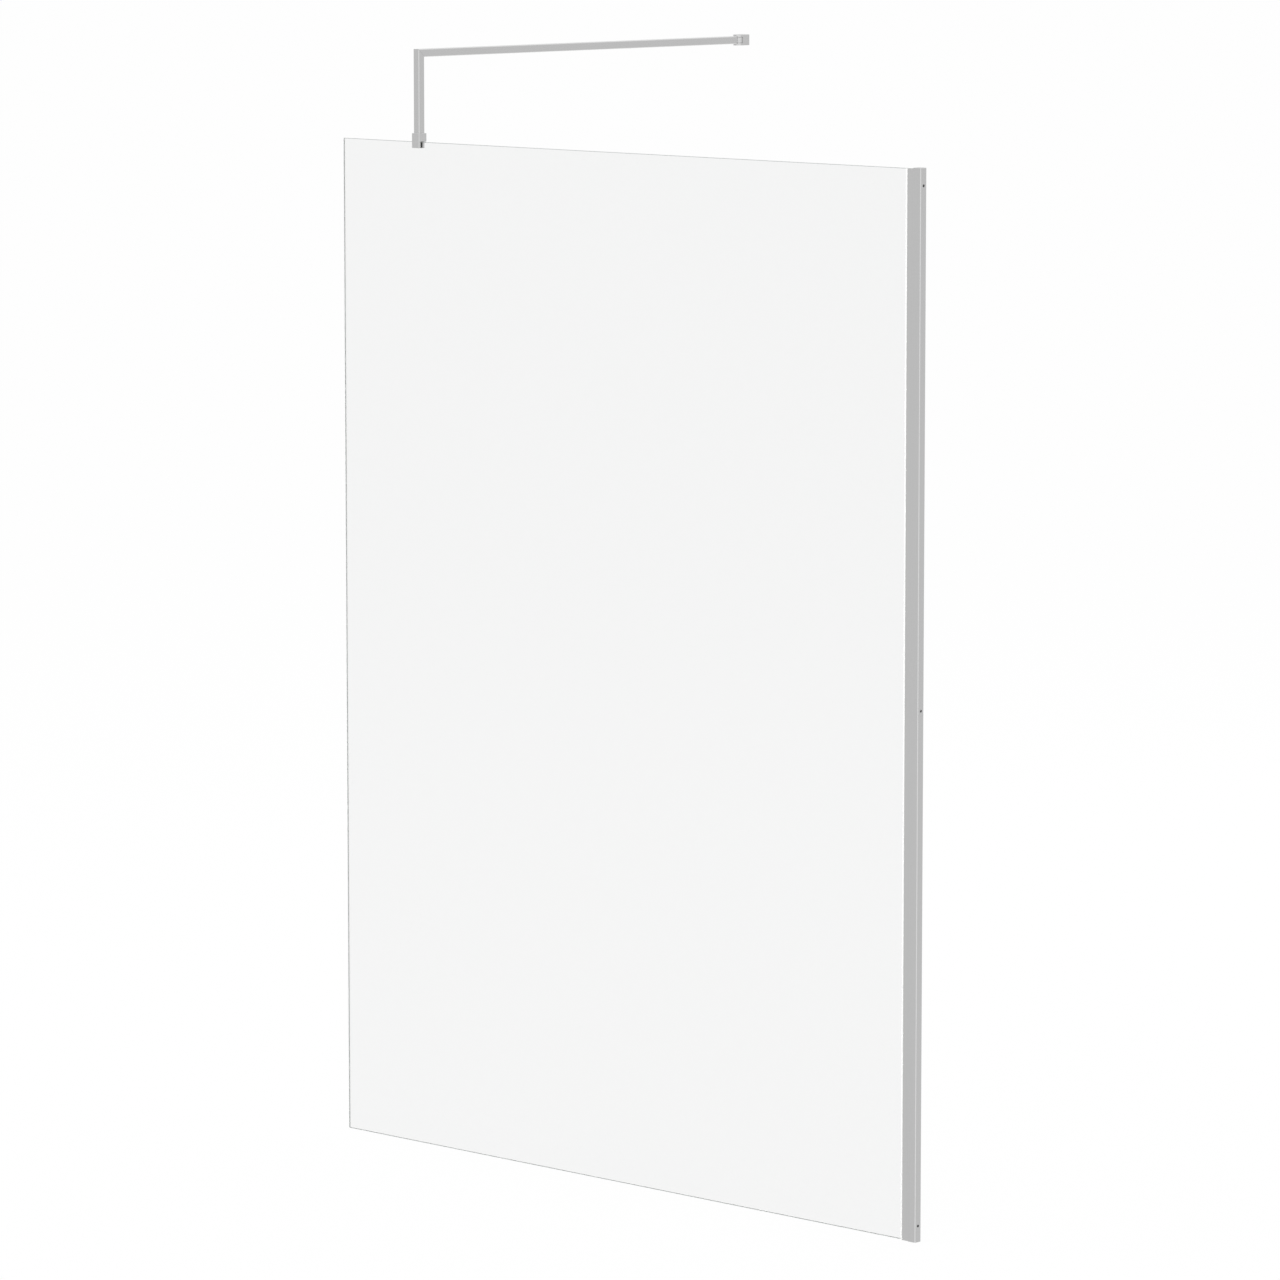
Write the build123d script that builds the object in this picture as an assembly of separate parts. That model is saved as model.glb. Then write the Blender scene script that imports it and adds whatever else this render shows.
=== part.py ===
from build123d import *
import os

# Walk-in shower screen: one fixed glass panel, an adjustable wall profile and a support arm.
# Millimetres. X = 0 is the wall face, Y = 0 the middle of the glass, Z = 0 the floor.
# The glass runs from the wall towards -X, the arm runs from the glass towards +Y.

# Driving sizes of the screen
screen_width = 1495.0            # wall face to the free edge of the glass, profile at mid travel
screen_height = 1950.0           # floor to the top edge of the glass
glass_thickness = 6.0
glass_arris = 0.7                # ground edge of the glass
arm_inset = 205.0                # free edge of the glass to the axis of the post
arm_rise = 177.0                 # top edge of the glass to the top of the arm
arm_reach = 918.0                # middle of the glass to the wall that carries the arm

# Clearances
running_gap = 0.3                # curved faces that move past each other
thread_gap = 0.05                # radial, screw in its thread
pin_gap = 0.08                   # radial, pivot screw in the knuckle
socket_gap = 0.15                # each side, square tube in a square socket

# Wall channel, a U that is screwed to the wall
channel_width = 16.0
channel_depth = 18.0
channel_wall = 1.5
channel_corner = 1.5
channel_lip = 0.6
wall_hole_diameter = 5.0
wall_hole_inset = 30.0           # wall hole to each end of the channel

# Glazing profile, which slides in the wall channel and holds the glass
slide_gap = 0.2                  # each side, between channel and glazing profile
slide_travel = 4.0               # adjustment each way
glazing_reach = 33.5             # wall face to the mouth of the glazing profile
glazing_wall = 1.5
glazing_web = 1.4
glazing_pocket = 13.0            # depth of the pocket for the glass
glazing_tail = 6.0               # wall face to the ends of the two legs
glazing_lip = 0.4
gasket_groove_depth = 0.5
gasket_groove_width = 1.6
gasket_groove_inset = 2.2        # mouth of the pocket to the groove
glass_edge_gap = 2.0             # glass edge to the bottom of the pocket

# Gasket strips at both faces of the glass
gasket_depth = 9.0               # length inside the pocket
gasket_lip_length = 2.6          # length of the visible lip outside the mouth
gasket_lip_cover = 0.9           # how far the lip covers the end of the profile wall
gasket_tip = 0.25
gasket_rib_gap = 0.1             # rib to the bottom of its groove
gasket_rib_taper = 0.3
gasket_bevel = 1.0               # slanted inner end

# Spacer blocks behind the edge of the glass
spacer_length = 40.0
spacer_inset = 200.0
spacer_chamfer = 0.4

# Lock screws of the adjustment, on the shower side
lock_screw_diameter = 4.0
lock_screw_inset = 250.0         # first and last screw to the ends of the channel
lock_screw_reach = 10.0          # wall face to the screw axis
lock_head_diameter = 7.5
lock_head_height = 2.4
lock_washer_diameter = 9.0
lock_washer_thickness = 0.8
lock_nut_collar = 5.4
lock_nut_flange = 7.0            # across the flats of its hexagon
lock_nut_depth = 1.8
lock_screw_tip = 0.3             # end of the screw past its nut
slot_gap = 0.2                   # each side, screw shank in its slot

# Cap on top of the wall channel
cap_thickness = 2.0
cap_edge = 0.4
cap_plug_depth = 10.0
cap_plug_gap = 0.4

# Glass clamp
clamp_side = 20.5
clamp_height = 28.3
clamp_grip = 11.7                # overlap below the top edge of the glass
clamp_front_jaw = 4.2
clamp_rear_jaw = 5.2
clamp_pad = 0.8                  # rubber at each face of the glass and over its edge
clamp_floor = 2.2                # metal between the glass slot and the tube socket
clamp_corner = 1.5
clamp_edge = 0.5
press_plate_side = 10.0
press_plate_thickness = 1.4
press_travel = 0.8               # how far the pressure plate backs off the glass
press_pocket_gap = 0.3
clamp_screw_diameter = 5.0
clamp_head_diameter = 8.5
clamp_head_height = 2.6
clamp_head_chamfer = 1.2
clamp_head_gap = 0.3

# Square tube of the arm
tube_side = 15.0
tube_wall = 1.5
tube_corner = 1.5
post_lift = 5.0                  # height adjustment of the post in its socket
set_screw_diameter = 5.0
set_screw_height = 7.0           # below the top of the clamp
set_screw_sink = 0.2

# Corner key inside the mitred corner
key_gap = 0.15
key_leg = 32.0                   # length of each leg from the outer corner
key_screw_diameter = 4.0
key_screw_inset = 24.0           # outer corner to each screw
key_screw_length = 5.0
key_chamfer = 1.0

# Swivel bracket at the second wall
bracket_width = 20.5
bracket_height = 21.6
bracket_depth = 22.0             # pivot axis to the wall
bracket_edge = 0.6
knuckle_height = 10.6
knuckle_neck = 8.0
pivot_washer_thickness = 0.5
pivot_washer_diameter = 11.0
pivot_diameter = 5.0
pivot_head_diameter = 9.0
pivot_head_height = 2.2
pivot_cover = 1.6                # metal left above the end of the pivot screw
tube_end_gap = 0.6               # knuckle surface to the end of the bar
plug_stem = 30.0
plug_screw_diameter = 4.0
plug_screw_inset = 12.0
plug_screw_length = 5.0
disc_diameter = 13.8
disc_thickness = 6.8
disc_gap = 0.2
disc_bore = 4.5
disc_countersink = 9.0
lock_grub_diameter = 4.0

# Hex sockets of the screws, width across flats and depth
hex_small = 2.0
hex_large = 2.5
hex_depth = 1.5

# Working values
overcut = 1.0                    # how far a cutter runs past the face that it cuts
near = 0.01                      # edges closer than this to a place count as there

# Places that follow from the sizes
half_glass = glass_thickness / 2
glazing_half = channel_width / 2 - channel_wall - slide_gap
pocket_half = glazing_half - glazing_wall
pocket_bottom = glazing_reach - glazing_pocket
glass_edge = pocket_bottom + glass_edge_gap
profile_top = screen_height
glazing_top = screen_height - running_gap
post_x = arm_inset - screen_width
clamp_front = -(half_glass + clamp_pad + clamp_front_jaw)
arm_y = clamp_front + clamp_side / 2
clamp_back = clamp_front + clamp_side
slot_top = screen_height + clamp_pad
socket_floor = slot_top + clamp_floor
clamp_bottom = screen_height - clamp_grip
clamp_top = clamp_bottom + clamp_height
rear_jaw_inner = half_glass + clamp_pad
rear_jaw_outer = rear_jaw_inner + clamp_rear_jaw
clamp_screw_z = screen_height - clamp_grip / 2
set_screw_z = clamp_top - set_screw_height
arm_top = screen_height + arm_rise
bar_z = arm_top - tube_side / 2
post_bottom = socket_floor + running_gap
pivot_y = arm_reach - bracket_depth
knuckle_radius = bracket_width / 2
bar_end = pivot_y - knuckle_radius - tube_end_gap
key_side = tube_side - 2 * tube_wall - 2 * key_gap
fork_gap = knuckle_height + 2 * pivot_washer_thickness
wall_hole_heights = [wall_hole_inset, screen_height / 2, screen_height - wall_hole_inset]
lock_heights = [lock_screw_inset, screen_height / 2, screen_height - lock_screw_inset]
spacer_heights = [spacer_inset, screen_height / 2, screen_height - spacer_inset]


def along_y(y, length, radius, x, z):
    """Cylinder whose axis runs along +Y from y."""
    plane = Plane(origin=(x, y, z), x_dir=(1, 0, 0), z_dir=(0, 1, 0))
    return extrude(plane * Circle(radius), amount=length)


def along_x(x, length, radius, y, z):
    """Cylinder whose axis runs along +X from x."""
    plane = Plane(origin=(x, y, z), x_dir=(0, 1, 0), z_dir=(1, 0, 0))
    return extrude(plane * Circle(radius), amount=length)


def along_z(z, length, radius, x, y):
    """Cylinder whose axis runs along +Z from z."""
    return extrude(Plane(origin=(x, y, z)) * Circle(radius), amount=length)


def block(x0, x1, y0, y1, z0, z1):
    """Box between two corners."""
    centre = ((x0 + x1) / 2, (y0 + y1) / 2, (z0 + z1) / 2)
    return Pos(*centre) * Box(x1 - x0, y1 - y0, z1 - z0)


def turned(points, plane):
    """Solid of revolution of a half profile of (radius, height) about the plane's normal."""
    outline = Polyline(*points, close=True)
    return plane * revolve(Plane.XZ * make_face(outline), axis=Axis.Z)


def hexagon(plane, flats, depth):
    """Hexagonal prism that starts on the plane and runs along its normal."""
    return extrude(plane * RegularPolygon(flats / 2, 6, major_radius=False), amount=depth)


def upright(outline, z0, z1):
    """Extrusion of an outline of (x, y) points, upright from z0 to z1."""
    return extrude(Plane(origin=(0, 0, z0)) * make_face(outline), amount=z1 - z0)


def wall_profile():
    """U channel with three wall holes in the web and three slots in the shower side flange."""
    half = channel_width / 2
    inner = half - channel_wall
    outline = Polyline(
        (0, -half), (-channel_depth, -half), (-channel_depth, -inner), (-channel_wall, -inner),
        (-channel_wall, inner), (-channel_depth, inner), (-channel_depth, half), (0, half),
        close=True)
    channel = upright(outline, 0, profile_top)
    wall_corners = [e for e in channel.edges().filter_by(Axis.Z) if abs(e.center().X) < near]
    channel = fillet(wall_corners, channel_corner)
    tips = [e for e in channel.edges().filter_by(Axis.Z)
            if abs(e.center().X + channel_depth) < near and abs(abs(e.center().Y) - half) < near]
    channel = chamfer(tips, channel_lip)
    cut_depth = channel_wall + 2 * overcut
    for z in wall_hole_heights:
        channel -= along_x(-channel_wall - overcut, cut_depth, wall_hole_diameter / 2, 0, z)
    slot_height = lock_screw_diameter + 2 * slot_gap
    slot_length = 2 * slide_travel + slot_height
    for z in lock_heights:
        plane = Plane(origin=(-lock_screw_reach, inner - overcut, z), x_dir=(1, 0, 0),
                      z_dir=(0, 1, 0))
        channel -= extrude(plane * SlotOverall(slot_length, slot_height), amount=cut_depth)
    return channel


def profile_top_cap():
    """Flat cap on the channel, with a plug that sits against the web."""
    half = channel_width / 2
    plate = block(-channel_depth, 0, -half, half, profile_top, profile_top + cap_thickness)
    corners = [e for e in plate.edges().filter_by(Axis.Z) if abs(e.center().X) < near]
    plate = fillet(corners, channel_corner)
    plate = chamfer(plate.faces().sort_by(Axis.Z)[-1].edges(), cap_edge)
    plug_half = pocket_half - cap_plug_gap
    plug_reach = pocket_bottom - glazing_web - slide_travel - cap_plug_gap
    plug = block(-plug_reach, -channel_wall, -plug_half, plug_half,
                 profile_top - cap_plug_depth, profile_top)
    bottom = plug.faces().sort_by(Axis.Z)[0].edges()
    return plate + chamfer(bottom, cap_edge)


def glazing_section_half():
    """Half outline of the glazing profile for +Y, from the mouth to the leg."""
    groove = -glazing_reach + gasket_groove_inset
    deep = pocket_half + gasket_groove_depth
    return [
        (-glazing_reach, pocket_half), (-glazing_reach, glazing_half), (-glazing_tail, glazing_half),
        (-glazing_tail, pocket_half), (-pocket_bottom + glazing_web, pocket_half),
        (-pocket_bottom + glazing_web, 0), (-pocket_bottom, 0), (-pocket_bottom, pocket_half),
        (groove + gasket_groove_width, pocket_half), (groove + gasket_groove_width, deep),
        (groove, deep), (groove, pocket_half)]


def glazing_profile():
    """H section: a pocket for glass and gaskets, and two legs that slide in the wall channel."""
    half = upright(Polyline(*glazing_section_half(), close=True), 0, glazing_top)
    profile = half + mirror(half, Plane.XZ)
    mouth = [e for e in profile.edges().filter_by(Axis.Z)
             if abs(e.center().X + glazing_reach) < near
             and abs(abs(e.center().Y) - glazing_half) < near]
    profile = chamfer(mouth, glazing_lip)
    for z in lock_heights:
        profile -= along_y(pocket_half - overcut, glazing_wall + 2 * overcut,
                           lock_nut_collar / 2, -lock_screw_reach, z)
    return profile


def glass_panel():
    """Sheet of glass with a ground arris on every edge."""
    sheet = block(-screen_width, -glass_edge, -half_glass, half_glass, 0, screen_height)
    return chamfer(sheet.edges(), glass_arris)


def gasket_strip(side):
    """Wedge strip between glass and profile wall, with a rib in the groove and a lip outside."""
    mouth = -glazing_reach
    rib = mouth + gasket_groove_inset
    rib_side = pocket_half + gasket_groove_depth - gasket_rib_gap
    points = [
        (mouth + gasket_depth, half_glass), (mouth - gasket_lip_length, half_glass),
        (mouth - gasket_lip_length, half_glass + gasket_tip),
        (mouth - gasket_tip, pocket_half + gasket_lip_cover), (mouth, pocket_half + gasket_lip_cover),
        (mouth, pocket_half), (rib, pocket_half), (rib, rib_side),
        (rib + gasket_groove_width, rib_side - gasket_rib_taper),
        (rib + gasket_groove_width, pocket_half), (mouth + gasket_depth - gasket_bevel, pocket_half)]
    outline = Polyline(*[(x, side * y) for x, y in points], close=True)
    return upright(outline, 0, glazing_top)


def edge_spacers():
    """Three rubber blocks that keep the edge of the glass off the pocket."""
    blocks = []
    for z in spacer_heights:
        spacer = block(-glass_edge, -pocket_bottom, -half_glass, half_glass,
                       z - spacer_length / 2, z + spacer_length / 2)
        blocks.append(chamfer(spacer.edges().filter_by(Axis.Z), spacer_chamfer))
    return Compound(blocks)


def lock_screws():
    """Cheese head screws that go through the slots of the channel into the nuts."""
    flange = channel_width / 2 + lock_washer_thickness
    length = flange - pocket_half + lock_nut_depth + lock_screw_tip
    shank = lock_screw_diameter / 2 - thread_gap
    screws = []
    for z in lock_heights:
        plane = Plane(origin=(-lock_screw_reach, flange, z), x_dir=(1, 0, 0), z_dir=(0, 1, 0))
        head = extrude(plane * Circle(lock_head_diameter / 2), amount=lock_head_height)
        shaft = along_y(flange - length, length, shank, -lock_screw_reach, z)
        top = Plane(origin=(-lock_screw_reach, flange + lock_head_height, z), x_dir=(1, 0, 0),
                    z_dir=(0, -1, 0))
        screws.append(head + shaft - hexagon(top, hex_large, hex_depth))
    return Compound(screws)


def lock_washers():
    """Flat washers between the screw heads and the slotted flange."""
    face = channel_width / 2
    washers = []
    for z in lock_heights:
        disc = along_y(face, lock_washer_thickness, lock_washer_diameter / 2, -lock_screw_reach, z)
        hole = along_y(face - overcut, lock_washer_thickness + 2 * overcut,
                       lock_screw_diameter / 2 + slot_gap, -lock_screw_reach, z)
        washers.append(disc - hole)
    return Compound(washers)


def lock_nuts():
    """Press nuts: a collar in the leg of the glazing profile and a hexagon behind it."""
    nuts = []
    for z in lock_heights:
        collar = along_y(pocket_half, glazing_wall, lock_nut_collar / 2 - thread_gap,
                         -lock_screw_reach, z)
        back = Plane(origin=(-lock_screw_reach, pocket_half - lock_nut_depth, z),
                     x_dir=(1, 0, 0), z_dir=(0, 1, 0))
        flange = hexagon(back, lock_nut_flange, lock_nut_depth)
        bore = along_y(pocket_half - lock_nut_depth - overcut,
                       glazing_wall + lock_nut_depth + 2 * overcut,
                       lock_screw_diameter / 2, -lock_screw_reach, z)
        nuts.append(collar + flange - bore)
    return Compound(nuts)


def clamp_body():
    """Square block with a glass slot below, a tube socket on top and a stepped rear jaw."""
    half = clamp_side / 2
    body = block(post_x - half, post_x + half, clamp_front, clamp_back, clamp_bottom, clamp_top)
    body = fillet(body.edges().filter_by(Axis.Z), clamp_corner)
    body = chamfer(body.faces().sort_by(Axis.Z)[-1].edges(), clamp_edge)
    body -= block(post_x - clamp_side, post_x + clamp_side, -half_glass - clamp_pad,
                  rear_jaw_inner, clamp_bottom - overcut, slot_top)
    body -= block(post_x - clamp_side, post_x + clamp_side, rear_jaw_outer, clamp_back + overcut,
                  clamp_bottom - overcut, slot_top)
    opening = tube_side + 2 * socket_gap
    socket = Plane(origin=(post_x, arm_y, socket_floor)) * RectangleRounded(
        opening, opening, tube_corner)
    body -= extrude(socket, amount=clamp_height)
    pocket = press_plate_side / 2 + press_pocket_gap
    pocket_depth = press_plate_thickness + press_travel + press_pocket_gap
    body -= block(post_x - pocket, post_x + pocket, rear_jaw_inner - overcut,
                  rear_jaw_inner + pocket_depth, clamp_screw_z - pocket, clamp_screw_z + pocket)
    body -= along_y(rear_jaw_inner, clamp_rear_jaw + overcut, clamp_screw_diameter / 2, post_x,
                    clamp_screw_z)
    body -= along_y(arm_y, clamp_side, set_screw_diameter / 2, post_x, set_screw_z)
    return body


def clamp_front_pad():
    """Thin rubber between the front jaw and the glass."""
    half = clamp_side / 2 - clamp_edge
    return block(post_x - half, post_x + half, -half_glass - clamp_pad, -half_glass,
                 clamp_bottom + clamp_edge, slot_top)


def clamp_top_pad():
    """Thin rubber between the top edge of the glass and the roof of the slot."""
    half = clamp_side / 2 - clamp_edge
    return block(post_x - half, post_x + half, -half_glass, half_glass, screen_height, slot_top)


def pressure_plate():
    """Square steel plate in the pocket of the rear jaw, pushed by the clamp screw."""
    half = press_plate_side / 2
    return block(post_x - half, post_x + half, rear_jaw_inner,
                 rear_jaw_inner + press_plate_thickness, clamp_screw_z - half, clamp_screw_z + half)


def pressure_pad():
    """Rubber face of the pressure plate."""
    half = press_plate_side / 2
    return block(post_x - half, post_x + half, half_glass, rear_jaw_inner, clamp_screw_z - half,
                 clamp_screw_z + half)


def clamp_screw():
    """Button head screw through the rear jaw, its end on the pressure plate."""
    head_plane = rear_jaw_outer + clamp_head_gap
    tip = rear_jaw_inner + press_plate_thickness
    shaft = along_y(tip, head_plane - tip, clamp_screw_diameter / 2 - thread_gap, post_x,
                    clamp_screw_z)
    head = along_y(head_plane, clamp_head_height, clamp_head_diameter / 2, post_x, clamp_screw_z)
    head = chamfer(head.faces().sort_by(Axis.Y)[-1].edges(), clamp_head_chamfer)
    top = Plane(origin=(post_x, head_plane + clamp_head_height, clamp_screw_z), x_dir=(1, 0, 0),
                z_dir=(0, -1, 0))
    return shaft + head - hexagon(top, hex_large, hex_depth)


def post_set_screw():
    """Grub screw in the rear wall of the clamp, its end on the post."""
    start = arm_y + tube_side / 2
    end = clamp_back - set_screw_sink
    screw = along_y(start, end - start, set_screw_diameter / 2 - thread_gap, post_x, set_screw_z)
    top = Plane(origin=(post_x, end, set_screw_z), x_dir=(1, 0, 0), z_dir=(0, -1, 0))
    return screw - hexagon(top, hex_large, hex_depth)


def tube_section():
    """Cross section of the square tube."""
    bore = tube_side - 2 * tube_wall
    return RectangleRounded(tube_side, tube_side, tube_corner) - Rectangle(bore, bore)


def mitre_cutter(keep_post):
    """Half space at 45 degrees through the outer corner of the arm."""
    reach = 4 * tube_side
    y0 = arm_y - tube_side / 2
    if keep_post:
        points = [(y0, arm_top), (y0 + reach, arm_top - reach), (y0 + reach, arm_top + reach),
                  (y0 - reach, arm_top + reach)]
    else:
        points = [(y0, arm_top), (y0 + reach, arm_top - reach), (y0 - reach, arm_top - reach),
                  (y0 - reach, arm_top + reach)]
    plane = Plane(origin=(post_x - tube_side, 0, 0), x_dir=(0, 1, 0), z_dir=(1, 0, 0))
    return extrude(plane * make_face(Polyline(*points, close=True)), amount=2 * tube_side)


def post_tube():
    """Upright square tube from the clamp to the mitred corner."""
    plane = Plane(origin=(post_x, arm_y, post_bottom))
    tube = extrude(plane * tube_section(), amount=arm_top - post_bottom)
    tube -= mitre_cutter(True)
    screw_z = arm_top - key_screw_inset
    return tube - along_y(arm_y, tube_side, key_screw_diameter / 2, post_x, screw_z)


def bar_tube():
    """Level square tube from the mitred corner to the wall bracket."""
    start = arm_y - tube_side / 2
    plane = Plane(origin=(post_x, start, bar_z), x_dir=(1, 0, 0), z_dir=(0, 1, 0))
    tube = extrude(plane * tube_section(), amount=bar_end - start)
    tube -= mitre_cutter(False)
    for y, diameter in ((start + key_screw_inset, key_screw_diameter),
                        (bar_end - plug_screw_inset, plug_screw_diameter)):
        tube -= along_z(bar_z - tube_side, tube_side, diameter / 2, post_x, y)
    return tube


def corner_key():
    """Solid L inside both tubes, threaded for one screw in each leg."""
    half = key_side / 2
    y0 = arm_y - half
    z1 = bar_z + half
    leg_y = arm_y - tube_side / 2 + key_leg
    leg_z = arm_top - key_leg
    points = [(y0, leg_z), (y0 + key_side, leg_z), (y0 + key_side, z1 - key_side),
              (leg_y, z1 - key_side), (leg_y, z1), (y0 + key_side, z1), (y0, z1 - key_side)]
    plane = Plane(origin=(post_x - half, 0, 0), x_dir=(0, 1, 0), z_dir=(1, 0, 0))
    key = extrude(plane * make_face(Polyline(*points, close=True)), amount=key_side)
    for end in (key.faces().sort_by(Axis.Z)[0], key.faces().sort_by(Axis.Y)[-1]):
        key = chamfer(end.edges(), key_chamfer)
    key -= along_y(arm_y, key_side, key_screw_diameter / 2, post_x, arm_top - key_screw_inset)
    key -= along_z(bar_z - key_side, key_side, key_screw_diameter / 2, post_x,
                   arm_y - tube_side / 2 + key_screw_inset)
    return key


def corner_key_screws():
    """Two grub screws, one through the inner face of each tube into the key."""
    radius = key_screw_diameter / 2 - thread_gap
    post_face = arm_y + tube_side / 2 - set_screw_sink
    screw_z = arm_top - key_screw_inset
    upper = along_y(post_face - key_screw_length, key_screw_length, radius, post_x, screw_z)
    upper -= hexagon(Plane(origin=(post_x, post_face, screw_z), x_dir=(1, 0, 0),
                              z_dir=(0, -1, 0)), hex_small, hex_depth)
    bar_face = bar_z - tube_side / 2 + set_screw_sink
    screw_y = arm_y - tube_side / 2 + key_screw_inset
    lower = along_z(bar_face, key_screw_length, radius, post_x, screw_y)
    lower -= hexagon(Plane(origin=(post_x, screw_y, bar_face)), hex_small, hex_depth)
    return Compound([upper, lower])


def bar_end_plug():
    """Plug in the end of the bar, with a round knuckle on a short neck."""
    half = key_side / 2
    stem = block(post_x - half, post_x + half, bar_end - plug_stem, bar_end, bar_z - half,
                 bar_z + half)
    stem = chamfer(stem.faces().sort_by(Axis.Y)[0].edges(), key_chamfer)
    low = bar_z - knuckle_height / 2
    neck = block(post_x - knuckle_neck / 2, post_x + knuckle_neck / 2, bar_end, pivot_y, low,
                 low + knuckle_height)
    knuckle = along_z(low, knuckle_height, knuckle_radius, post_x, pivot_y)
    plug = stem + neck + knuckle
    plug -= along_z(low - overcut, knuckle_height + 2 * overcut, pivot_diameter / 2 + pin_gap,
                    post_x, pivot_y)
    return plug - along_z(bar_z - key_side, key_side, plug_screw_diameter / 2, post_x,
                          bar_end - plug_screw_inset)


def bar_end_screw():
    """Grub screw that holds the plug in the bar, from below."""
    face = bar_z - tube_side / 2 + set_screw_sink
    y = bar_end - plug_screw_inset
    screw = along_z(face, plug_screw_length, plug_screw_diameter / 2 - thread_gap, post_x, y)
    return screw - hexagon(Plane(origin=(post_x, y, face)), hex_small, hex_depth)


def bracket_body():
    """Wall block with a rounded fork in front and a round pocket in its back."""
    half = bracket_width / 2
    low = bar_z - bracket_height / 2
    outline = Plane(origin=(post_x, pivot_y, low)) * (
        Circle(half) + Pos(0, bracket_depth / 2) * Rectangle(bracket_width, bracket_depth))
    body = extrude(outline, amount=bracket_height)
    for face in (body.faces().sort_by(Axis.Z)[0], body.faces().sort_by(Axis.Z)[-1]):
        rim = [e for e in face.edges() if abs(e.center().Y - arm_reach) > near]
        body = chamfer(rim, bracket_edge)
    slot_low = bar_z - fork_gap / 2
    body -= along_z(slot_low, fork_gap, knuckle_radius + running_gap, post_x, pivot_y)
    body -= block(post_x - bracket_width, post_x + bracket_width, pivot_y - bracket_width, pivot_y,
                  slot_low, slot_low + fork_gap)
    body -= along_y(arm_reach - disc_thickness - disc_gap, disc_thickness + disc_gap + overcut,
                    disc_diameter / 2 + disc_gap, post_x, bar_z)
    body -= along_z(low - overcut, bracket_height - pivot_cover + overcut, pivot_diameter / 2,
                    post_x, pivot_y)
    sink = Plane(origin=(post_x, pivot_y, low)) * Pos(0, 0, pivot_head_height / 2) * Cone(
        pivot_head_diameter / 2, pivot_diameter / 2, pivot_head_height)
    body -= sink
    return body - along_z(low - overcut, bracket_height / 2, lock_grub_diameter / 2, post_x,
                          arm_reach - disc_thickness / 2)


def pivot_screw():
    """Countersunk screw from below, the axle of the fork and knuckle."""
    low = bar_z - bracket_height / 2
    radius = pivot_diameter / 2 - thread_gap
    head_radius = pivot_head_diameter / 2 - thread_gap
    top = bracket_height - pivot_cover - running_gap
    points = [(0, 0), (head_radius, 0), (radius, pivot_head_height), (radius, top), (0, top)]
    screw = turned(points, Plane(origin=(post_x, pivot_y, low)))
    return screw - hexagon(Plane(origin=(post_x, pivot_y, low)), hex_large, hex_depth)


def pivot_washers():
    """Two thin washers, above and below the knuckle."""
    washers = []
    for z in (bar_z - fork_gap / 2, bar_z + knuckle_height / 2):
        ring = along_z(z, pivot_washer_thickness, pivot_washer_diameter / 2, post_x, pivot_y)
        hole = along_z(z - overcut, pivot_washer_thickness + 2 * overcut,
                       pivot_diameter / 2 + pin_gap, post_x, pivot_y)
        washers.append(ring - hole)
    return Compound(washers)


def bracket_wall_disc():
    """Disc that is screwed to the wall first; the block pushes over it."""
    radius = disc_diameter / 2
    flare = (disc_countersink - disc_bore) / 2
    points = [(disc_bore / 2, 0), (radius, 0), (radius, disc_thickness),
              (disc_countersink / 2, disc_thickness), (disc_bore / 2, disc_thickness - flare)]
    plane = Plane(origin=(post_x, arm_reach, bar_z), x_dir=(1, 0, 0), z_dir=(0, -1, 0))
    return turned(points, plane)


def bracket_lock_screw():
    """Pointed grub screw from below, its tip on the rim of the wall disc."""
    low = bar_z - bracket_height / 2 + set_screw_sink
    radius = lock_grub_diameter / 2 - thread_gap
    height = bar_z - disc_diameter / 2 - low
    points = [(0, 0), (radius, 0), (radius, height - radius), (0, height)]
    origin = (post_x, arm_reach - disc_thickness / 2, low)
    screw = turned(points, Plane(origin=origin))
    return screw - hexagon(Plane(origin=origin), hex_small, hex_depth)


parts = {
    "wall_profile": wall_profile(),
    "profile_top_cap": profile_top_cap(),
    "glazing_profile": glazing_profile(),
    "glass_panel": glass_panel(),
    "gasket_outside": gasket_strip(-1),
    "gasket_inside": gasket_strip(1),
    "edge_spacers": edge_spacers(),
    "lock_screws": lock_screws(),
    "lock_washers": lock_washers(),
    "lock_nuts": lock_nuts(),
    "clamp_body": clamp_body(),
    "clamp_front_pad": clamp_front_pad(),
    "clamp_top_pad": clamp_top_pad(),
    "pressure_plate": pressure_plate(),
    "pressure_pad": pressure_pad(),
    "clamp_screw": clamp_screw(),
    "post_set_screw": post_set_screw(),
    "post_tube": post_tube(),
    "bar_tube": bar_tube(),
    "corner_key": corner_key(),
    "corner_key_screws": corner_key_screws(),
    "bar_end_plug": bar_end_plug(),
    "bar_end_screw": bar_end_screw(),
    "bracket_body": bracket_body(),
    "pivot_screw": pivot_screw(),
    "pivot_washers": pivot_washers(),
    "bracket_wall_disc": bracket_wall_disc(),
    "bracket_lock_screw": bracket_lock_screw(),
}

os.makedirs("parts", exist_ok=True)
for name, shape in parts.items():
    export_step(shape, f"parts/{name}.step")
    print(name, round(shape.volume, 1))
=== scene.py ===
import math

import bmesh
import bpy
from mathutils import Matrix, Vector


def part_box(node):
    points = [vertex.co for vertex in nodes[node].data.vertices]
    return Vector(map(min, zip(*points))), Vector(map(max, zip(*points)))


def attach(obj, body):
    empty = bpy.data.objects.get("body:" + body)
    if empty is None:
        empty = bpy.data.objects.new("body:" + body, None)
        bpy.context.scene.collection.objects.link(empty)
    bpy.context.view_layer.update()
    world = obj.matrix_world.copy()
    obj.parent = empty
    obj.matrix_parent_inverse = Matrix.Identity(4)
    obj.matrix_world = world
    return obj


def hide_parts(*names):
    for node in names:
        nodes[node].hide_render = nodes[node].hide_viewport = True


# Walk-in shower screen: clear glass in a wall profile, with a raised square arm to the second wall.
# Metres. X = 0 is the wall, Y = 0 the middle of the glass, Z = 0 the floor.

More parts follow.
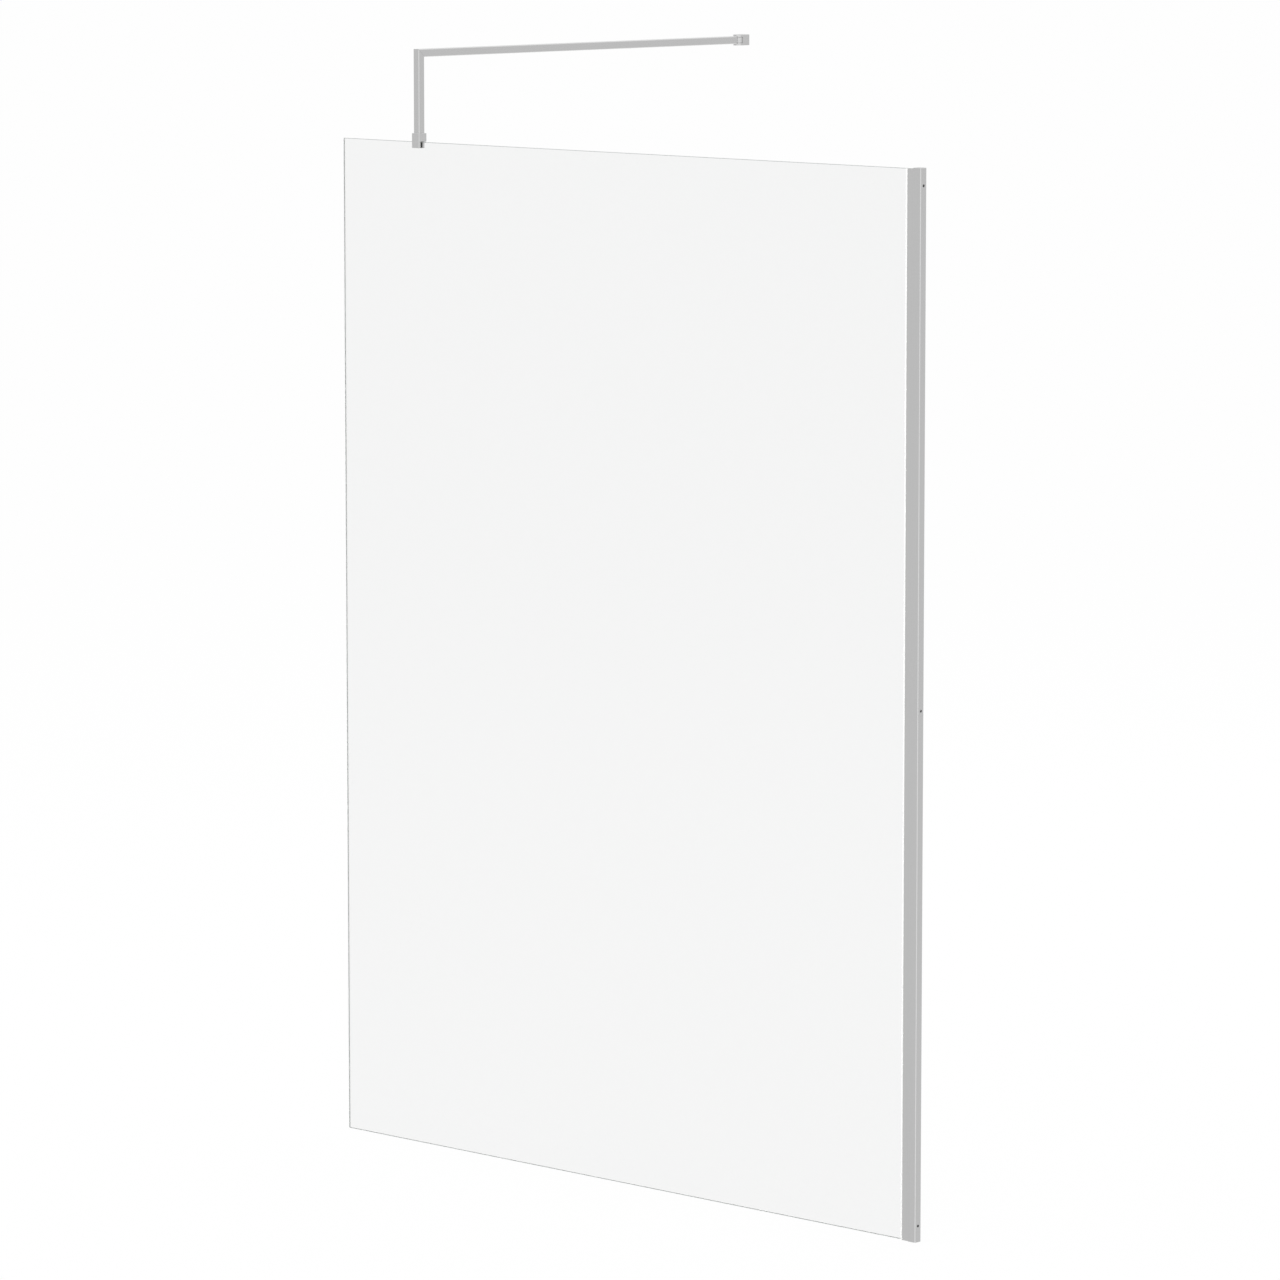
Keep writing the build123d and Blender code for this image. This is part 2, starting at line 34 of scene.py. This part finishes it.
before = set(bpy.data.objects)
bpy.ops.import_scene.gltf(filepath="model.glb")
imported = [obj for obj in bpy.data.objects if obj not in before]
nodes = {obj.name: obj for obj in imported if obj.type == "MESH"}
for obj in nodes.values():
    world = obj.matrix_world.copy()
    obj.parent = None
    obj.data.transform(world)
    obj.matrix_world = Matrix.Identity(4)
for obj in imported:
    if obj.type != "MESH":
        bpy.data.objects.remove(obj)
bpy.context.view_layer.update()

# Camera that took the view
camera_place = (7.8322, -8.8691, 2.6373)
camera_pitch = 7.389             # degrees below the horizon
camera_azimuth = 43.895          # degrees from -Y towards +X
focal_pixels = 6633.1
image_pixels = 1280
sensor_mm = 36.0

# Studio
floor_side = 400.0
floor_gap = 0.0004               # floor below the feet of the screen
floor_colour = 0.95
background_lift = 0.97           # share of the pale background that takes no shadow
ambient = 0.72                   # light of the room from all sides
middle = (-0.75, 0.3, 1.1)       # what the lamps point at
lamp_side = 3.0
lamps = {                        # place and watts
    "key_lamp": ((5.0, -7.5, 6.5), 260.0),
    "side_lamp": ((-6.0, -4.0, 4.0), 120.0),
    "back_lamp": ((-1.0, 6.0, 5.0), 120.0),
}

# Seal strips, whose lip shows beside the profile
profile_mouth = -0.0335
seal_pocket = 0.0048             # middle of the glass to the inner face of the profile's wall
seal_lip = 0.0060                # length of the lip outside the mouth
seal_touch = 0.00302             # middle of the glass to the face of the strip
seal_depth = 0.0090              # length inside the pocket
seal_tip = 0.0002                # thickness of the lip's end
seal_flank = 0.60                # share of the lip at which its hollow flank starts
seal_flank_drop = 0.0007         # flank below the pocket wall's face
seal_nose = 0.22                 # share of the lip that the blunt nose takes
seal_nose_rise = 0.0011          # nose above the pocket wall's face, outside
seal_root_rise = 0.00125         # nose above the pocket wall's face, at the mouth
seal_bevel = 0.001               # slanted inner end
seal_gap = 0.00005               # strip to the metal that it lies on

# Masks in the finishes
edge_highlight_range = (0.10, 0.40)         # from flat face to rounded edge, where the painted highlight comes in
seam_mask = (0.00025, 0.00045)   # from the mitre's joint line to clean metal
arris_mask = (0.00066, 0.00074)  # from the ground edge of the glass to its clear face

# Finishes, colours as linear values
edge_highlight_gain = 1.42                 # how much lighter the painted highlight makes the rounded edges of the metal
aluminium_colour = (0.52, 0.52, 0.52)
fitting_colour = (0.525, 0.525, 0.525)
steel_colour = (0.58, 0.57, 0.56)
zinc_colour = (0.36, 0.365, 0.37)
glass_colour = (0.914, 0.916, 0.915)
glass_edge_colour = (0.44, 0.47, 0.46)
seal_colour = (0.95, 0.95, 0.945)
rubber_colour = (0.022, 0.023, 0.019)
pad_colour = (0.20, 0.20, 0.165)
nylon_colour = (0.72, 0.71, 0.66)


class Value:
    """A socket's value in shader maths; each operator adds a Math node."""

    def __init__(self, shader, socket):
        self.shader = shader
        self.socket = socket

    def math(self, operation, *others):
        values = dict(enumerate((self,) + others))
        return self.shader.add("Math", {"operation": operation}, values)

    def __add__(self, other):
        return self.math("ADD", other)

    __radd__ = __add__

    def __mul__(self, other):
        return self.math("MULTIPLY", other)

    __rmul__ = __mul__

    def __sub__(self, other):
        return self.math("SUBTRACT", other)

    def __rsub__(self, other):
        return (self * -1.0) + other

    def lower(self, other):
        return self.math("MINIMUM", other)

    def absolute(self):
        return self.math("ABSOLUTE")

    def step(self, low, high):
        """0 below low and 1 above high, with a smooth step between them."""
        settings = {"interpolation_type": "SMOOTHSTEP"}
        return self.shader.add("MapRange", settings, {0: self, 1: low, 2: high})


class Shader:
    """Builds the node tree of a material or of the world."""

    def __init__(self, tree):
        self.tree = tree
        tree.nodes.clear()

    def add(self, kind, settings=None, values=None, output=0):
        """Adds a node: first its settings, then the values or links of its sockets."""
        node = self.tree.nodes.new("ShaderNode" + kind)
        for name, setting in (settings or {}).items():
            setattr(node, name, setting)
        for name, value in (values or {}).items():
            if isinstance(value, Value):
                self.tree.links.new(value.socket, node.inputs[name])
            else:
                node.inputs[name].default_value = value
        return Value(self, node.outputs[output]) if node.outputs else None

    def place(self):
        """Object coordinates, in metres."""
        return self.add("TexCoord", output=3)

    def split(self, vector):
        """The x, y and z of a vector."""
        parts = self.add("SeparateXYZ", values={0: vector})
        return [Value(self, parts.socket.node.outputs[i]) for i in range(3)]

    def axes(self):
        """The x, y and z of the object coordinates."""
        return self.split(self.place())

    def painted_edge_highlight(self):
        """Mask of the painted edge highlight: 1 on rounded and chamfered edges, 0 on the flat faces
        of a square piece.
        """
        x, y, z = [part.absolute() for part in self.split(self.add("TexCoord", output=1))]
        return (x * y + y * z + z * x).step(*edge_highlight_range)

    def scaled_place(self, scale):
        """Object coordinates times a scale for each axis."""
        return self.add("VectorMath", {"operation": "MULTIPLY"}, {0: self.place(), 1: scale})

    def noise(self, scale, detail=2.0):
        """Noise whose grain has its own scale along each axis."""
        vector = self.scaled_place(scale)
        return self.add("TexNoise", values={"Vector": vector, "Scale": 1.0, "Detail": detail})

    def blend(self, factor, first, second):
        """Colour between two colours."""
        values = {0: factor, 6: colour(first), 7: colour(second)}
        return self.add("Mix", {"data_type": "RGBA"}, values, 2)

    def bump(self, height, distance, strength=1.0):
        """Normal of a fine relief, its height in units of distance."""
        return self.add("Bump", values={"Height": height, "Distance": distance,
                                        "Strength": strength})

    def ray(self, name):
        """Light path flag of the present ray."""
        path = self.add("LightPath")
        return Value(self, path.socket.node.outputs[name])

    def seen(self):
        """1 for what the camera sees, also in metal and through glass."""
        return (self.ray("Is Camera Ray") + self.ray("Is Glossy Ray")
                + self.ray("Is Transmission Ray")).lower(1.0)

    def finish(self, surface, kind="OutputMaterial"):
        self.add(kind, values={"Surface": surface})


def colour(value):
    """Four numbers for a colour socket, or the link as it is."""
    if isinstance(value, Value):
        return value
    return (*value, 1.0)


def darker(value, share):
    return tuple(share * channel for channel in value)


def new_material(name):
    material = bpy.data.materials.new(name)
    material.use_nodes = True
    return material, Shader(material.node_tree)


def mitre_seam(shader):
    """1 on the fine joint line of the mitred corner, 0 elsewhere."""
    y, z = shader.axes()[1:]
    low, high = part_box("post_tube")
    offset = (y - low.y) + (z - high.z)
    return 1.0 - offset.absolute().step(*seam_mask)


def drawn_metal(name, base, roughness, grain, seam=None):
    """Satin anodised extrusion: fine die lines along the bar and a cloudy anodic layer."""
    material, shader = new_material(name)
    lines = shader.noise(grain, 3.0)
    cloud = shader.noise((9.0, 9.0, 9.0), 3.0)
    tone = shader.blend(lines * 0.6 + cloud * 0.4, darker(base, 0.95), darker(base, 1.05))
    # Painted highlight: the rounded edges are lighter in colour, standing in for the lamps' glint on
    # them.
    tone = shader.blend(shader.painted_edge_highlight(), tone, darker(base, edge_highlight_gain))
    if seam:
        tone = shader.blend(seam(shader) * 0.5, tone, darker(base, 0.45))
    surface = shader.add("BsdfPrincipled", values={
        "Base Color": tone, "Metallic": 1.0,
        "Roughness": lines * 0.10 + cloud * 0.08 + (roughness - 0.09),
        "Normal": shader.bump(lines, 0.00002, 0.4)})
    shader.finish(surface)
    return material


def blasted_metal(name, base, roughness, grain=2600.0):
    """Fine blasted and anodised or plated surface of a machined or cast fitting."""
    material, shader = new_material(name)
    speckle = shader.noise((grain, grain, grain), 2.0)
    cloud = shader.noise((60.0, 60.0, 60.0), 2.0)
    tone = shader.blend(speckle * 0.5 + cloud * 0.5, darker(base, 0.94), darker(base, 1.06))
    # Painted highlight: the rounded edges are lighter in colour, standing in for the lamps' glint on
    # them.
    tone = shader.blend(shader.painted_edge_highlight() * 0.8, tone, darker(base, edge_highlight_gain))
    surface = shader.add("BsdfPrincipled", values={
        "Base Color": tone, "Metallic": 1.0,
        "Roughness": speckle * 0.08 + cloud * 0.08 + (roughness - 0.08),
        "Normal": shader.bump(speckle, 0.00001, 0.5)})
    shader.finish(surface)
    return material


def clear_glass():
    """Clear float glass whose edges are ground and satin."""
    material, shader = new_material("clear_glass_finish")
    low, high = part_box("glass_panel")
    x, y, z = shader.axes()
    inset = (x - low.x).lower(high.x - x).lower(z - low.z).lower(high.z - z)
    face = inset.step(*arris_mask)
    streak = shader.noise((1.2, 1.2, 0.7), 1.0)
    tint = shader.blend(streak, darker(glass_colour, 0.995), glass_colour)
    pane = shader.add("BsdfPrincipled", values={
        "Base Color": tint, "Roughness": 0.0, "IOR": 1.52, "Transmission Weight": 1.0})
    grind = shader.noise((3000.0, 3000.0, 3000.0), 2.0)
    edge = shader.add("BsdfPrincipled", values={
        "Base Color": colour(glass_edge_colour), "Roughness": grind * 0.2 + 0.3, "IOR": 1.52,
        "Transmission Weight": 0.55})
    both = shader.add("MixShader", values={0: face, 1: edge, 2: pane})
    open_pane = shader.add("BsdfTransparent", values={"Color": colour((0.93, 0.94, 0.94))})
    surface = shader.add("MixShader", values={0: shader.ray("Is Shadow Ray"), 1: both, 2: open_pane})
    shader.finish(surface)
    return material


def soft_plastic(name, base, roughness, transmission=0.0, painted_glow=0.0, grain=1500.0):
    """Matt rubber, seal or nylon with a fine moulded grain; glow is painted light, an emission that
    makes the part brighter though it is no lamp.
    """
    material, shader = new_material(name)
    speckle = shader.noise((grain, grain, grain), 2.0)
    cloud = shader.noise((35.0, 35.0, 35.0), 2.0)
    tone = shader.blend(speckle * 0.4 + cloud * 0.6, darker(base, 0.93), darker(base, 1.05))
    surface = shader.add("BsdfPrincipled", values={
        "Base Color": tone, "Roughness": speckle * 0.12 + (roughness - 0.06), "IOR": 1.5,
        "Transmission Weight": transmission, "Normal": shader.bump(speckle, 0.00002, 0.5),
        "Emission Color": tone, "Emission Strength": painted_glow})
    shader.finish(surface)
    return material


fine = 1400.0                    # grain across a bar, per metre
long = 5.0                       # grain along a bar, per metre

finishes = {
    "aluminium_profile": drawn_metal("profile_finish", aluminium_colour, 0.30, (fine, fine, long)),
    "post": drawn_metal("post_finish", aluminium_colour, 0.28, (fine, fine, long), mitre_seam),
    "bar": drawn_metal("bar_finish", aluminium_colour, 0.28, (fine, long, fine), mitre_seam),
    "fitting": blasted_metal("fitting_finish", fitting_colour, 0.30),
    "cap": blasted_metal("cap_finish", fitting_colour, 0.34),
    "zinc": blasted_metal("zinc_finish", zinc_colour, 0.42, 1200.0),
    "steel": blasted_metal("steel_finish", steel_colour, 0.24, 3500.0),
    "glass": clear_glass(),
    # The seal glows with painted light, an emission that makes the white strip brighter.
    "seal": soft_plastic("seal_finish", seal_colour, 0.38, 0.4, 0.16),
    "pad": soft_plastic("pad_finish", pad_colour, 0.58),
    "rubber": soft_plastic("rubber_finish", rubber_colour, 0.62),
    "nylon": soft_plastic("nylon_finish", nylon_colour, 0.45),
}

node_finishes = {
    "aluminium_profile": ["wall_profile", "glazing_profile"],
    "post": ["post_tube"],
    "bar": ["bar_tube"],
    "fitting": ["clamp_body", "bracket_body", "bar_end_plug"],
    "cap": ["profile_top_cap"],
    "zinc": ["corner_key", "bracket_wall_disc", "pressure_plate"],
    "steel": ["lock_screws", "lock_washers", "lock_nuts", "clamp_screw", "post_set_screw",
              "corner_key_screws", "bar_end_screw", "pivot_screw", "bracket_lock_screw"],
    "glass": ["glass_panel"],
    "seal": ["gasket_outside", "gasket_inside"],
    "pad": ["clamp_front_pad", "clamp_top_pad", "pressure_pad"],
    "rubber": ["edge_spacers"],
    "nylon": ["pivot_washers"],
}

for finish, members in node_finishes.items():
    for member in members:
        for slot in nodes[member].material_slots:
            slot.material = finishes[finish]


def seal_strip(name, node, side):
    """Strip between glass and profile wall, with a thin lip that lies on the glass outside."""
    low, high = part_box(node)
    outline = [
        (profile_mouth + seal_depth, seal_touch), (profile_mouth - seal_lip, seal_touch),
        (profile_mouth - seal_lip, seal_touch + seal_tip),
        (profile_mouth - seal_flank * seal_lip, seal_pocket - seal_flank_drop),
        (profile_mouth - seal_nose * seal_lip, seal_pocket + seal_nose_rise),
        (profile_mouth - seal_gap, seal_pocket + seal_root_rise),
        (profile_mouth - seal_gap, seal_pocket),
        (profile_mouth + seal_depth - seal_bevel, seal_pocket - seal_gap)]
    shape = bmesh.new()
    rings = [[shape.verts.new((x, side * y, z)) for x, y in outline] for z in (low.z, high.z)]
    count = len(outline)
    for ring in rings:
        shape.faces.new(ring)
    for i in range(count):
        j = (i + 1) % count
        shape.faces.new((rings[0][i], rings[0][j], rings[1][j], rings[1][i]))
    bmesh.ops.recalc_face_normals(shape, faces=shape.faces)
    mesh = bpy.data.meshes.new(name)
    shape.to_mesh(mesh)
    shape.free()
    strip = bpy.data.objects.new(name, mesh)
    bpy.context.scene.collection.objects.link(strip)
    mesh.materials.append(finishes["seal"])
    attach(strip, "panel")
    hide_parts(node)


seal_strip("outside_seal", "gasket_outside", -1)
seal_strip("inside_seal", "gasket_inside", 1)


def studio_floor():
    """Wide pale floor that shows as white and keeps a soft shadow."""
    half = floor_side / 2
    mesh = bpy.data.meshes.new("studio_floor")
    ground = [(-half, -half), (half, -half), (half, half), (-half, half)]
    mesh.from_pydata([(x, y, -floor_gap) for x, y in ground], [], [(0, 1, 2, 3)])
    floor = bpy.data.objects.new("studio_floor", mesh)
    bpy.context.scene.collection.objects.link(floor)
    material, shader = new_material("floor_finish")
    paint = shader.add("BsdfDiffuse", values={"Color": colour((floor_colour,) * 3)})
    white = shader.add("Emission", values={"Color": colour((1.0, 1.0, 1.0)), "Strength": 1.0})
    surface = shader.add("MixShader", values={0: shader.seen() * background_lift, 1: paint, 2: white})
    shader.finish(surface)
    mesh.materials.append(material)


def studio_world():
    """White all round for what is seen, and a softer even light for what is lit."""
    world = bpy.data.worlds.new("studio_world")
    world.use_nodes = True
    bpy.context.scene.world = world
    shader = Shader(world.node_tree)
    strength = shader.seen() * (1.0 - ambient) + ambient
    sky = shader.add("Background", values={"Color": colour((1.0, 1.0, 1.0)), "Strength": strength})
    shader.finish(sky, "OutputWorld")


def softbox(name, place, target, side, watts):
    """Square lamp that points at a target and shows neither in view nor in metal."""
    lamp = bpy.data.lights.new(name, "AREA")
    lamp.shape = "SQUARE"
    lamp.size = side
    lamp.energy = watts
    holder = bpy.data.objects.new(name, lamp)
    holder.location = place
    holder.rotation_euler = (Vector(target) - Vector(place)).to_track_quat("-Z", "Y").to_euler()
    holder.visible_camera = False
    holder.visible_transmission = False
    holder.visible_glossy = False
    bpy.context.scene.collection.objects.link(holder)


def photo_camera():
    """Camera at the photograph's place, angle and framing."""
    pitch = math.radians(camera_pitch)
    azimuth = math.radians(camera_azimuth)
    back = Vector((math.sin(azimuth) * math.cos(pitch), -math.cos(azimuth) * math.cos(pitch),
                   math.sin(pitch)))
    data = bpy.data.cameras.new("photo_camera")
    data.sensor_width = sensor_mm
    data.lens = focal_pixels / image_pixels * sensor_mm
    data.clip_end = 4 * floor_side
    camera = bpy.data.objects.new("photo_camera", data)
    camera.location = camera_place
    camera.rotation_euler = (-back).to_track_quat("-Z", "Y").to_euler()
    bpy.context.scene.collection.objects.link(camera)
    bpy.context.scene.camera = camera


studio_floor()
studio_world()
for lamp_name, (lamp_place, lamp_watts) in lamps.items():
    softbox(lamp_name, lamp_place, middle, lamp_side, lamp_watts)
photo_camera()
bpy.context.scene.view_settings.view_transform = "Standard"
